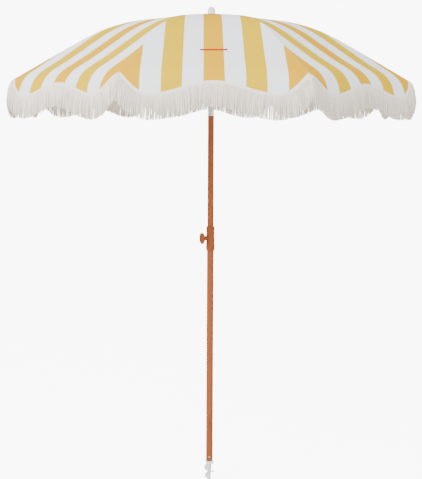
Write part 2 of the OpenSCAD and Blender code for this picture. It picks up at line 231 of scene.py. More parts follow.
@dataclass(frozen=True)
class Finish:
    """What every finish has: a name, its main colour and its roughness."""

    name: str
    colour: Colour
    roughness: float = 0.5

    def material(self) -> bpy.types.Material:
        """Makes the material, once, and gives it."""
        known = bpy.data.materials.get(self.name)
        if known is not None:
            return known
        made = bpy.data.materials.new(self.name)
        made.use_nodes = True
        made.diffuse_color = (*self.colour, 1.0)
        graph = Graph(made.node_tree)
        shader = graph.first("BSDF_PRINCIPLED")
        self.fix(shader, Base_Color=(*self.colour, 1.0), Roughness=self.roughness)
        self.dress(graph, shader)
        return made

    def dress(self, graph: Graph, shader: bpy.types.Node) -> None:
        """Adds this finish's detail to the shader."""
        raise NotImplementedError

    @staticmethod
    def place(graph: Graph) -> Field:
        """A point of the surface in the umbrella's own frame."""
        return graph.out("ShaderNodeTexCoord", output="Object")

    @staticmethod
    def feed(graph: Graph, shader: bpy.types.Node, **inputs: Field) -> None:
        """Links fields to the shader's sockets; underscores stand for spaces."""
        for name, value in inputs.items():
            graph.tree.links.new(value.socket, shader.inputs[name.replace("_", " ")])

    @staticmethod
    def fix(shader: bpy.types.Node, **inputs: float | Point) -> None:
        """Sets the shader's sockets to constants; underscores stand for spaces."""
        for name, value in inputs.items():
            shader.inputs[name.replace("_", " ")].default_value = value

    @staticmethod
    def bump(graph: Graph, height: Field, depth: float, strength: float = 1.0) -> Field:
        """A normal bent by a height field whose full range is depth metres."""
        return graph.out("ShaderNodeBump", sockets={
            "Height": height, "Distance": depth, "Strength": strength})

    def shade(self, by: float) -> Colour:
        """The main colour, darker or lighter, and no brighter than white."""
        return tuple(min(1.0, by * part) for part in self.colour)


@dataclass(frozen=True)
class WoodLookCoat(Finish):
    """A steel tube coated to look like oiled wood, with long fine grain under a satin lacquer."""

    dark: Colour = (0.17, 0.045, 0.017)

    def dress(self, graph: Graph, shader: bpy.types.Node) -> None:
        """Grain stretched along the pole, in colour, gloss and a little relief."""
        place = self.place(graph)
        grain = graph.noise(graph.stretched(place, (1.0, 1.0, 0.035)), 260.0, 5.0, 0.62)
        broad = graph.noise(graph.stretched(place, (1.0, 1.0, 0.12)), 34.0, 3.0)
        figure = graph.out("ShaderNodeValToRGB", {"ramp": [
            (0.30, self.dark), (0.47, self.colour), (0.78, self.shade(1.12))]},
            {"Fac": grain * 0.72 + broad * 0.28})
        scuffs = graph.noise(place, 900.0, 2.0)
        self.feed(graph, shader, Base_Color=figure,
                  Roughness=self.roughness - 0.06 + 0.14 * grain + 0.04 * scuffs,
                  Normal=self.bump(graph, grain, 0.00003, 0.4))
        self.fix(shader, Specular_IOR_Level=0.02)


@dataclass(frozen=True)
class MouldedPlastic(Finish):
    """Moulded plastic with a fine spark-eroded texture and faint flow marks."""

    shine: float = 0.15
    grain: float = 0.00006
    milky: float = 0.0

    def dress(self, graph: Graph, shader: bpy.types.Node) -> None:
        """A fine pebble, a slow change of tone, and some light carried inside where it is milky."""
        place = self.place(graph)
        pebble = graph.noise(place, 1600.0, 2.0)
        flow = graph.noise(graph.stretched(place, (1.0, 1.0, 0.4)), 45.0, 4.0)
        self.feed(graph, shader, Base_Color=graph.colour_mix(flow, self.shade(0.86), self.shade(1.08)),
                  Roughness=self.roughness - 0.05 + 0.1 * pebble + 0.06 * flow,
                  Normal=self.bump(graph, pebble, self.grain))
        self.fix(shader, Specular_IOR_Level=self.shine, Subsurface_Weight=self.milky,
                 Subsurface_Radius=(0.01, 0.01, 0.011), Subsurface_Scale=1.0)


@dataclass(frozen=True)
class PlatedMetal(Finish):
    """Bright plated or bare metal, with drawing lines round or along it."""

    lines: Point = (1.0, 1.0, 14.0)

    def dress(self, graph: Graph, shader: bpy.types.Node) -> None:
        """Fine lines and a few dull patches."""
        place = self.place(graph)
        drawn = graph.noise(graph.stretched(place, self.lines), 150.0, 4.0, 0.6)
        dull = graph.noise(place, 60.0, 3.0)
        patches = drawn * 0.6 + dull * 0.4
        self.feed(graph, shader, Base_Color=graph.colour_mix(patches, self.colour, self.shade(0.78)),
                  Roughness=self.roughness + 0.12 * drawn + 0.10 * dull,
                  Normal=self.bump(graph, drawn, 0.00002))
        self.fix(shader, Metallic=1.0)


@dataclass(frozen=True)
class PowderCoat(Finish):
    """Powder-coated steel wire, with the orange peel that the coat dries to."""

    def dress(self, graph: Graph, shader: bpy.types.Node) -> None:
        """Orange peel, and grime in the slow hollows."""
        place = self.place(graph)
        peel = graph.noise(place, 700.0, 2.0)
        grime = graph.noise(place, 25.0, 4.0)
        self.feed(graph, shader, Base_Color=graph.colour_mix(grime, self.colour, self.shade(0.88)),
                  Roughness=self.roughness + 0.15 * grime, Normal=self.bump(graph, peel, 0.00008))


@dataclass(frozen=True)
class StripedCloth(Finish):
    """Plain-woven canopy cloth. Its own UV map gives metres across from a gore's centre and along it."""

    golden: Colour = (0.69, 0.37, 0.002)
    lemon: Colour = (0.67, 0.435, 0.002)
    stripe: float = 0.0775
    thread: float = 0.0009

    def dress(self, graph: Graph, shader: bpy.types.Node) -> None:
        """Stripes alternating golden, white and lemon, over the relief of the weave."""
        uv = graph.out("ShaderNodeUVMap", {"uv_map": "cloth"})
        across, along, _ = graph.split(uv)
        band = (abs(across) / self.stripe + 0.5).floor()
        yellow = (band % 2.0) < 0.5
        lemon = (band % 4.0) > 1.0
        dye = graph.colour_mix(lemon, self.golden, self.lemon)
        printed = graph.colour_mix(yellow, self.colour, dye)
        weave = graph.wave(across, self.thread) * graph.wave(along, self.thread) * 0.5 + 0.5
        slub = graph.noise(graph.stretched(uv, (1.0, 0.05, 1.0)), 420.0, 3.0)
        cloud = graph.noise(self.place(graph), 5.0, 3.0)
        shade = graph.scaled(printed, 0.93 + 0.05 * weave + 0.05 * slub + 0.03 * cloud)
        self.feed(graph, shader, Base_Color=shade, Roughness=self.roughness + 0.12 * slub,
                  Normal=self.bump(graph, weave * 0.6 + slub * 0.4, 0.00025, 0.7))
        self.fix(shader, Specular_IOR_Level=0.04)


@dataclass(frozen=True)
class Yarn(Finish):
    """Soft twisted cotton yarn. The attribute "strand" tells the strands apart."""

    # painted shade: the darker cream that stands in for strands that hang in shadow
    shadowed: Colour = (0.80, 0.72, 0.60)
    twist: float = 0.0042

    def dress(self, graph: Graph, shader: bpy.types.Node) -> None:
        """Each strand drawn at random between the cream and a painted shade colour, with the twist of its plies."""
        place = self.place(graph)
        strand = graph.out("ShaderNodeAttribute", {"attribute_name": "strand"}, output="Fac")
        x, y, z = graph.split(place)
        ply = ((x + y) * 1500.0 + z * (FULL_TURN / self.twist) + strand * 6.0).sine() * 0.5 + 0.5
        fuzz = graph.noise(place, 1400.0, 3.0)
        # painted shade: each strand takes a random share of the shadowed colour, with a little more from the fuzz
        # noise
        tone = graph.colour_mix(strand * 0.8 + 0.2 * fuzz, self.colour, self.shadowed)
        shade = graph.scaled(tone, 0.95 + 0.07 * ply)
        self.feed(graph, shader, Base_Color=shade, Roughness=self.roughness + 0.1 * fuzz,
                  Normal=self.bump(graph, ply * 0.7 + fuzz * 0.3, 0.0004, 0.8))
        self.fix(shader, Specular_IOR_Level=0.1)


@dataclass(frozen=True)
class Webbing(Finish):
    """Woven tape whose ends are darker where they are turned under and sewn. Its UV map is in metres."""

    end: Colour = (0.22, 0.012, 0.02)
    end_length: float = 0.008

    def dress(self, graph: Graph, shader: bpy.types.Node) -> None:
        """Ribs across the tape, and darker ends."""
        uv = graph.out("ShaderNodeUVMap", {"uv_map": "cloth"})
        across, along, _ = graph.split(uv)
        rib = graph.wave(across, 0.0011) * 0.5 + 0.5
        thread = graph.wave(along, 0.0008) * 0.5 + 0.5
        folded = abs(across) > TAPE_HALF_LENGTH - self.end_length
        tone = graph.colour_mix(folded, self.colour, self.end)
        shade = graph.scaled(tone, 0.8 + 0.2 * rib + 0.08 * thread)
        self.feed(graph, shader, Base_Color=shade, Roughness=self.roughness + 0.1 * thread,
                  Normal=self.bump(graph, rib * 0.6 + thread * 0.4, 0.0003))
        self.fix(shader, Specular_IOR_Level=0.1)


WOOD_LOOK = WoodLookCoat("wood_look_coat", (0.30, 0.082, 0.029), 0.62)
TERRACOTTA = MouldedPlastic("satin_terracotta", (0.27, 0.073, 0.025), 0.62, 0.03, 0.00002)
WHITE_PLASTIC = MouldedPlastic("milky_white_plastic", (0.80, 0.80, 0.79), 0.30, 0.4, 0.00003, 0.25)
DARK_PLASTIC = MouldedPlastic("satin_black", (0.05, 0.035, 0.03), 0.5)
CHROME = PlatedMetal("bright_chrome", (0.83, 0.84, 0.86), 0.14)
ZINC = PlatedMetal("dull_zinc", (0.62, 0.63, 0.65), 0.34, (6.0, 6.0, 1.0))
WHITE_STEEL = PowderCoat("white_powder_coat", (0.78, 0.78, 0.76), 0.34)
CLOTH = StripedCloth("striped_canopy_cloth", (0.88, 0.895, 0.93), 0.72)
YARN = Yarn("cream_fringe_yarn", (0.93, 0.885, 0.80), 0.85)
# the third colour is the painted shade that the thread is darkened toward by its fuzz noise
THREAD = Yarn("sewing_thread", (0.80, 0.78, 0.72), 0.7, (0.66, 0.62, 0.54), 0.0012)
RED_TAPE = Webbing("red_woven_tape", (0.55, 0.03, 0.01), 0.7)


class Slot(Enum):
    """Names of the record's material slots for the pieces that are built here; no piece is given one here."""

    TERRACOTTA = "terracotta_plastic"
    WHITE = "white_plastic"
    CLOTH = "striped_cloth"
    YARN = "fringe_yarn"
    RED = "red_webbing"


# --------------------------------------------------------------------------- mesh helpers


def mesh_object(name: str, points: Sequence[Point], faces: Sequence[Sequence[int]], finish: Finish | None,
                edges: Sequence[tuple[int, int]] = (), smooth: bool = True) -> bpy.types.Object:
    """Makes an object from points and faces and links it to the scene.

    Args:
        name: The object's name.
        points: Its vertices.
        faces: Its faces.
        finish: Its finish, or None.
        edges: Loose edges, for a guide line.
        smooth: Whether its faces are shaded smooth.

    Returns:
        The object, at the origin.
    """
    mesh = bpy.data.meshes.new(name)
    mesh.from_pydata([tuple(p) for p in points], list(edges), list(faces))
    mesh.update()
    made = bpy.data.objects.new(name, mesh)
    bpy.context.collection.objects.link(made)
    if faces:
        mesh.polygons.foreach_set("use_smooth", [smooth] * len(mesh.polygons))
    if finish is not None:
        mesh.materials.append(finish.material())
    return made


def point_outwards(piece: bpy.types.Object) -> None:
    """Merges doubles and turns every face of a closed mesh outwards."""
    shell = bmesh.new()
    shell.from_mesh(piece.data)
    bmesh.ops.remove_doubles(shell, verts=shell.verts, dist=SAME_PLACE)
    bmesh.ops.recalc_face_normals(shell, faces=shell.faces)
    shell.to_mesh(piece.data)
    shell.free()


def grid_faces(rows: int, cols: int, closed: bool = False, first: int = 0) -> list[tuple[int, int, int, int]]:
    """The quads of a grid of points stored row by row; closed joins the last column to the first."""
    last = cols if closed else cols - 1
    return [(first + i * cols + j, first + i * cols + (j + 1) % cols,
             first + (i + 1) * cols + (j + 1) % cols, first + (i + 1) * cols + j)
            for i in range(rows - 1) for j in range(last)]


def lathe(name: str, profile: Sequence[tuple[float, float]], finish: Finish, around: int = 96,
          radius: Callable[[float, float, float], float] | None = None) -> bpy.types.Object:
    """Turns a profile round Z into a closed solid.

    Args:
        name: The object's name.
        profile: (radius, height) from one pole on the axis to the other; both ends have radius 0.
        finish: Its finish.
        around: Number of points round it.
        radius: Changes a radius, given it, the height and the angle in radians.

    Returns:
        The object.
    """
    rings = profile[1:-1]
    points: list[Point] = []
    for r, z in rings:
        for j in range(around):
            a = FULL_TURN * j / around
            q = radius(r, z, a) if radius else r
            points.append((q * math.cos(a), q * math.sin(a), z))
    faces: list[Sequence[int]] = list(grid_faces(len(rings), around, closed=True))
    for (_, z), ring in ((profile[0], 0), (profile[-1], len(rings) - 1)):
        points.append((0.0, 0.0, z))
        pole = len(points) - 1
        faces += [(pole, ring * around + j, ring * around + (j + 1) % around) for j in range(around)]
    made = mesh_object(name, points, faces, finish)
    point_outwards(made)
    return made


def rounded(profile: Sequence[tuple[float, float]], radius: float,
            steps: int = 5) -> list[tuple[float, float]]:
    """Rounds the inner corners of an open profile by arcs of about the given radius."""
    out = [tuple(profile[0])]
    for before, here, after in zip(profile, profile[1:], profile[2:]):
        p, q, r = Vector(before), Vector(here), Vector(after)
        reach = min(radius, 0.45 * (p - q).length, 0.45 * (r - q).length)
        a, b = q + (p - q).normalized() * reach, q + (r - q).normalized() * reach
        for i in range(steps + 1):
            t = i / steps
            out.append(tuple((1 - t) ** 2 * a + 2 * t * (1 - t) * q + t ** 2 * b))
    out.append(tuple(profile[-1]))
    return out


def place_by(piece: bpy.types.Object, matrix: Matrix) -> None:
    """Moves a piece's mesh, so that its object stays at the origin."""
    piece.data.transform(matrix)
    piece.data.update()


def thicken(piece: bpy.types.Object, thickness: float) -> None:
    """Gives a sheet its wall, half to each side, and keeps its cut edges crisp."""
    wall = piece.modifiers.new("thickness", "SOLIDIFY")
    wall.thickness = thickness
    wall.offset = 0.0
    wall.use_even_offset = False
    evaluated = piece.evaluated_get(bpy.context.evaluated_depsgraph_get())
    walled = bpy.data.meshes.new_from_object(evaluated)
    piece.modifiers.remove(wall)
    piece.data = walled
    walled.name = piece.name
    walled.set_sharp_from_angle(angle=SHARP_ANGLE)


def smoothstep(x: float) -> float:
    """Goes from 0 to 1 with level ends."""
    x = min(1.0, max(0.0, x))
    return x * x * (3.0 - 2.0 * x)


# --------------------------------------------------------------------------- geometry node trees


class Repeater:
    """A Geometry Nodes tree that lays copies along guide lines, and the step that makes them a mesh."""

    def __init__(self, name: str, inputs: dict[str, tuple[str, float | int]]) -> None:
        """Starts the tree.

        Args:
            name: The tree's name.
            inputs: Each named size: its socket's type and default.
        """
        tree = bpy.data.node_groups.new(name, "GeometryNodeTree")
        tree.interface.new_socket("Geometry", in_out="INPUT", socket_type="NodeSocketGeometry")
        tree.interface.new_socket("Geometry", in_out="OUTPUT", socket_type="NodeSocketGeometry")
        self.identifiers: dict[str, str] = {}
        for label, (kind, default) in inputs.items():
            socket = tree.interface.new_socket(label, in_out="INPUT", socket_type=kind)
            socket.default_value = default
            self.identifiers[label] = socket.identifier
        self.graph = Graph(tree)
        self.entry = self.graph.add("NodeGroupInput")

    def input(self, label: str) -> Field:
        """One of the tree's inputs."""
        return Field(self.graph, self.entry.outputs[label])

    def finish(self, result: Field, finish: Finish) -> None:
        """Ends the tree in Realize Instances and Set Material."""
        real = self.graph.out("GeometryNodeRealizeInstances", sockets={"Geometry": result})
        dressed = self.graph.out("GeometryNodeSetMaterial", sockets={
            "Geometry": real, "Material": finish.material()})
        self.graph.add("NodeGroupOutput", sockets={"Geometry": dressed})

    def run(self, name: str, guide: bpy.types.Object, **values: float | int) -> bpy.types.Object:
        """Runs the tree on a guide and gives the result as a plain mesh object; the guide is removed.

        Args:
            name: The new object's name.
            guide: The mesh of lines to work along.
            **values: The tree's inputs, with underscores for spaces.

        Returns:
            The new object.
        """
        modifier = guide.modifiers.new("repeat", "NODES")
        modifier.node_group = self.graph.tree
        for label, value in values.items():
            modifier[self.identifiers[label.replace("_", " ")]] = value
        evaluated = guide.evaluated_get(bpy.context.evaluated_depsgraph_get())
        mesh = bpy.data.meshes.new_from_object(evaluated)
        guide.modifiers.remove(modifier)
        made = bpy.data.objects.new(name, mesh)
        mesh.name = name
        bpy.context.collection.objects.link(made)
        bpy.data.objects.remove(guide)
        mesh.polygons.foreach_set("use_smooth", [True] * len(mesh.polygons))
        return made


def fringe_tree() -> Repeater:
    """The tree that hangs yarn strands from guide lines."""
    tree = Repeater("yarn_fringe", {
        "Strands": ("NodeSocketInt", 200), "Length": ("NodeSocketFloat", 0.086),
        "Yarn Radius": ("NodeSocketFloat", 0.0015), "Sway": ("NodeSocketFloat", 0.003),
        "Lean Reach": ("NodeSocketFloat", 0.028), "Seed": ("NodeSocketInt", 1)})
    g = tree.graph

    def chance(low: float, high: float, shift: float) -> Field:
        """A number drawn for each strand."""
        return g.out("FunctionNodeRandomValue", {"data_type": "FLOAT"}, {
            2: low, 3: high, "Seed": tree.input("Seed") + shift}, 1)

    def drift(upright: float, scale: float, detail: float) -> Field:
        """A vector about zero that changes slowly from place to place."""
        noise = g.out("ShaderNodeTexNoise", {"noise_dimensions": "3D"}, {
            "Vector": g.stretched(place, (1.0, 1.0, upright)), "Scale": scale, "Detail": detail}, "Color")
        return g.vector("SUBTRACT", noise, (0.5, 0.5, 0.5))

    line = g.out("GeometryNodeMeshToCurve", sockets={"Mesh": tree.input("Geometry")})
    roots = g.out("GeometryNodeResampleCurve", {"mode": "COUNT"}, {
        "Curve": line, "Count": tree.input("Strands")})
    drop = g.joined(z=tree.input("Length") * -1.0)
    straight = g.out("GeometryNodeCurvePrimitiveLine", sockets={"Start": (0.0, 0.0, 0.0), "End": drop})
    strand = g.out("GeometryNodeResampleCurve", {"mode": "COUNT"}, {"Curve": straight, "Count": 7})
    along = g.out("GeometryNodeSplineParameter", output="Factor")
    kept = g.out("GeometryNodeStoreNamedAttribute", {"data_type": "FLOAT", "domain": "POINT"},
                 {"Geometry": strand, "Name": "along", "Value": along})
    slim = g.out("GeometryNodeSetCurveRadius", sockets={
        "Curve": kept, "Radius": 1.0 - 0.35 * along.power(3.0)})
    ring = g.out("GeometryNodeCurvePrimitiveCircle", sockets={
        "Resolution": 5, "Radius": tree.input("Yarn Radius")})
    tube = g.out("GeometryNodeCurveToMesh", sockets={"Curve": slim, "Profile Curve": ring, "Fill Caps": True,
                                                     "Scale": g.out("GeometryNodeInputRadius")})
    turn = g.out("FunctionNodeRandomValue", {"data_type": "FLOAT_VECTOR"}, {
        0: (-0.045, -0.045, -3.1), 1: (0.045, 0.045, 3.1), "Seed": tree.input("Seed")})
    hung = g.out("GeometryNodeInstanceOnPoints", sockets={
        "Points": roots, "Instance": tube, "Rotation": turn,
        "Scale": g.joined(1.0, 1.0, chance(0.965, 1.02, 7.0))})
    named = g.out("GeometryNodeStoreNamedAttribute", {"data_type": "FLOAT", "domain": "INSTANCE"},
                  {"Geometry": hung, "Name": "strand", "Value": chance(0.0, 1.0, 13.0)})
    real = g.out("GeometryNodeRealizeInstances", sockets={"Geometry": named})
    place = g.out("GeometryNodeInputPosition")
    depth = g.out("GeometryNodeInputNamedAttribute", {"data_type": "FLOAT"}, {"Name": "along"})
    reach = depth.power(1.3) * tree.input("Sway")
    locks = g.scaled(drift(0.35, 55.0, 2.0), reach * 3.2)
    curls = g.scaled(drift(0.5, 210.0, 1.0), reach * 1.1)
    sideways = g.stretched(g.vector("ADD", locks, curls), (1.0, 1.0, 0.25))
    lean = g.out("GeometryNodeInputNamedAttribute", {"data_type": "FLOAT_VECTOR"}, {"Name": "lean"})
    bend = tree.input("Lean Reach")
    run = depth * tree.input("Length") / bend
    fall = g.out("ShaderNodeMath", {"operation": "EXPONENT"}, {0: run * -1.0})
    steep = g.out("ShaderNodeVectorMath", {"operation": "DOT_PRODUCT"}, {0: lean, 1: lean}, "Value")
    out = g.scaled(lean, bend * (1.0 - fall))
    lift = g.joined(z=steep * bend * 0.25 * (1.0 - fall * fall))
    moved = g.vector("ADD", sideways, g.vector("ADD", out, lift))
    swayed = g.out("GeometryNodeSetPosition", sockets={"Geometry": real, "Offset": moved})
    tree.finish(swayed, YARN)
    return tree


def stitch_tree() -> Repeater:
    """The tree that lays sewn stitches along guide lines."""
    tree = Repeater("stitches", {
        "Spacing": ("NodeSocketFloat", 0.004), "Stitch Length": ("NodeSocketFloat", 0.0028),
        "Thread Radius": ("NodeSocketFloat", 0.00035)})
    g = tree.graph
    line = g.out("GeometryNodeMeshToCurve", sockets={"Mesh": tree.input("Geometry")})
    places = g.out("GeometryNodeResampleCurve", {"mode": "LENGTH"}, {
        "Curve": line, "Length": tree.input("Spacing")})
    bead = g.out("GeometryNodeMeshUVSphere", sockets={
        "Segments": 6, "Rings": 4, "Radius": tree.input("Thread Radius")})
    stretch = g.joined(1.0, 1.0, tree.input("Stitch Length") / (tree.input("Thread Radius") * 2.0))
    aim = g.out("FunctionNodeAlignRotationToVector", {"axis": "Z"}, {
        "Vector": g.out("GeometryNodeInputTangent")})
    sewn = g.out("GeometryNodeInstanceOnPoints", sockets={
        "Points": places, "Instance": bead, "Rotation": aim, "Scale": stretch})
    tree.finish(sewn, THREAD)
    return tree


# --------------------------------------------------------------------------- the canopy's shape


@dataclass(frozen=True)
class RibCurve:
    """A rib's centre line: three tangent arcs, each (length, slope at its start, slope at its end)."""

    pivot_r: float = 0.020
    crown_z: float = 2.222
    arcs: tuple[tuple[float, float, float], ...] = (
        (0.320, 6.0, 9.0), (0.290, 9.0, 30.5), (0.343, 30.5, 32.0))
    cloth_lift: float = 0.0038

    @property
    def length(self) -> float:
        """The whole length of the line."""
        return sum(arc[0] for arc in self.arcs)

    def at(self, s: float) -> tuple[float, float, float]:
        """The radius, height and slope in degrees at distance s along the rib."""
        r, z, start = self.pivot_r, self.crown_z, 0.0
        for length, first, last in self.arcs:
            part = min(s - start, length)
            bend = length / math.radians(last - first)
            slope = first + (last - first) * part / length
            a, b = math.radians(first), math.radians(slope)
            r += bend * (math.sin(b) - math.sin(a))
            z -= bend * (math.cos(a) - math.cos(b))
            start += length
            if s <= start + JUST_PAST:
                break
        return r, z, slope

    def cloth(self, s: float, lift: float = 0.0) -> tuple[float, float, float]:
        """The same for the middle of the cloth that lies over the rib, or for a line lift above it."""
        r, z, slope = self.at(s)
        f = math.radians(slope)
        up = self.cloth_lift + lift
        return r + up * math.sin(f), z + up * math.cos(f), slope


@dataclass
class GoreShape:
    """The surface of one gore and of the edge that hangs from it, before it is turned to its place.

    Local X runs out from the pole through the gore's centre, Y across the gore and Z up. u is -1 to 1
    across the gore.
    """

    rib: RibCurve = field(default_factory=RibCurve)
    s_in: float = 0.011
    seam_gap: float = 0.0002
    seam_roll: float = 0.0028
    seam_tuck: float = 0.0011
    pucker: float = 0.0007
    pucker_pitch: float = 0.16
    sag: float = 0.02
    sag_fade: float = 0.300
    shoulder: float = 0.300
    shoulder_slope: float = 17.0
    scallop_deep: float = 0.077
    scallop_mid: float = 0.030
    scallop_peak: float = 0.68
    arch: float = 0.055
    flare: float = 0.042
    ripple: float = 0.0040

    @property
    def half_angle(self) -> float:
        """Half the angle of a gore, in radians."""
        return math.pi / RIBS

    @property
    def fold(self) -> tuple[float, float]:
        """Distance from the pole's axis, and height, of the straight fold between two rib tips."""
        r, z, _ = self.rib.cloth(self.rib.length)
        return r * math.cos(self.half_angle), z

    @property
    def fold_half(self) -> float:
        """Half the length of the fold."""
        return self.half_width(self.rib.length)

    def half_width(self, s: float) -> float:
        """Half the gore's width at distance s along its ribs."""
        return self.rib.cloth(s)[0] * math.sin(self.half_angle) - self.seam_gap

    def point(self, u: float, s: float, lift: float = 0.0) -> Point:
        """A point of the gore, or lift above it."""
        r, z, slope = self.rib.cloth(s)
        f, half = math.radians(slope), self.half_width(s)
        into = self.sag * half * (1.0 - u * u) * min(1.0, (self.rib.length - s) / self.sag_fade)
        q = max(0.0, 1.0 - (self.rib.length - s) / self.shoulder)
        rise = self.shoulder * math.tan(math.radians(self.shoulder_slope))
        rise *= q ** 6 * (1.0 - q) * (1.0 - u ** 6)
        edge = max(0.0, 1.0 - (1.0 - abs(u)) * half / self.seam_roll)
        tuck = self.seam_tuck * edge * edge
        pull = self.pucker * math.sin(math.pi * s / self.pucker_pitch) * (u * u) * (1.0 - abs(u)) * 4.0
        n = rise - into - tuck + pull + lift
        return r * math.cos(self.half_angle) + n * math.sin(f), u * half, z + n * math.cos(f)

    def scallop(self, u: float) -> float:
        """Drop of the scalloped edge below the fold."""
        a = abs(u)
        if a > self.scallop_peak:
            straight = math.cos(0.5 * math.pi * (a - self.scallop_peak) / (1.0 - self.scallop_peak))
            return self.scallop_deep * straight * straight * (1.0 + self.arch) / (straight + self.arch)
        swell = (1.0 - math.cos(math.pi * a / self.scallop_peak)) / 2.0
        return self.scallop_mid + (self.scallop_deep - self.scallop_mid) * swell

    def reach(self, u: float) -> float:
        """The drop over which the hanging edge turns down, from the slope that the gore ends at."""
        sag_slope = self.sag * self.fold_half * (1.0 - u * u) / self.sag_fade
        end = self.rib.arcs[-1][2] + self.shoulder_slope * (1.0 - u ** 6) - math.degrees(sag_slope)
        return self.flare * math.tan(math.radians(end))

    def hang(self, across: float, drop: float, seed: float) -> Point:
        """A point of the hanging edge, which runs out from the fold and turns down.

        Args:
            across: Distance across from the gore's centre; past the corner it runs straight on.
            drop: Height below the fold.
            seed: Shifts the ripples, so that no two gores hang alike.

        Returns:
            The point, in the gore's local frame.
        """
        x, z = self.fold
        u = max(-1.0, min(1.0, across / self.fold_half))
        out = self.flare * (1.0 - math.exp(-drop / self.reach(u)))
        wave = math.sin(5.2 * u + seed) * 0.6 + math.sin(11.0 * u + 2.3 * seed) * 0.4
        out += self.ripple * smoothstep(drop / 0.12) * wave * (1.0 - u ** 8)
        return x + out, across, z - drop

    def hem_frame(self, u: float) -> tuple[float, float, float]:
        """How a step beyond the hem, square to it in the cloth, goes across, outwards and down."""
        step = 0.002
        low, high = max(-1.0, u - step), min(1.0, u + step)
        rise = (self.scallop(high) - self.scallop(low)) / ((high - low) * self.fold_half)
        out = self.flare / self.reach(u) * math.exp(-self.scallop(u) / self.reach(u))
        square, down = math.hypot(1.0, rise), math.hypot(1.0, out)
        return -rise / square, out / (square * down), 1.0 / (square * down)

    def hem(self, u: float, beyond: float, proud: float, seed: float) -> Point:
        """A point beyond the hem by a distance along the cloth, and proud of it."""
        across, _, down = self.hem_frame(u)
        x, y, z = self.hang(u * self.fold_half + across * beyond, self.scallop(u) + down * beyond, seed)
        return x + proud, y, z

    def edge_length(self, u: float) -> float:
        """Length of cloth from the fold to the hem."""
        steps, length = 24, 0.0
        for i in range(steps):
            drop = self.scallop(u) * (i + 0.5) / steps
            length += math.hypot(1.0, self.flare / self.reach(u) * math.exp(-drop / self.reach(u)))
        return length * self.scallop(u) / steps


def turned(points: Sequence[Point], azimuth: float) -> list[Point]:
    """Points of a local frame, turned round Z to an azimuth in degrees from +X."""
    c, s = math.cos(math.radians(azimuth)), math.sin(math.radians(azimuth))
    return [(x * c - y * s, x * s + y * c, z) for x, y, z in points]


def set_uv(piece: bpy.types.Object, places: Sequence[tuple[float, float]]) -> None:
    """Gives a piece its cloth UV map, in metres, from one place per vertex."""
    layer = piece.data.uv_layers.new(name="cloth")
    for loop in piece.data.loops:
        layer.data[loop.index].uv = places[loop.vertex_index]


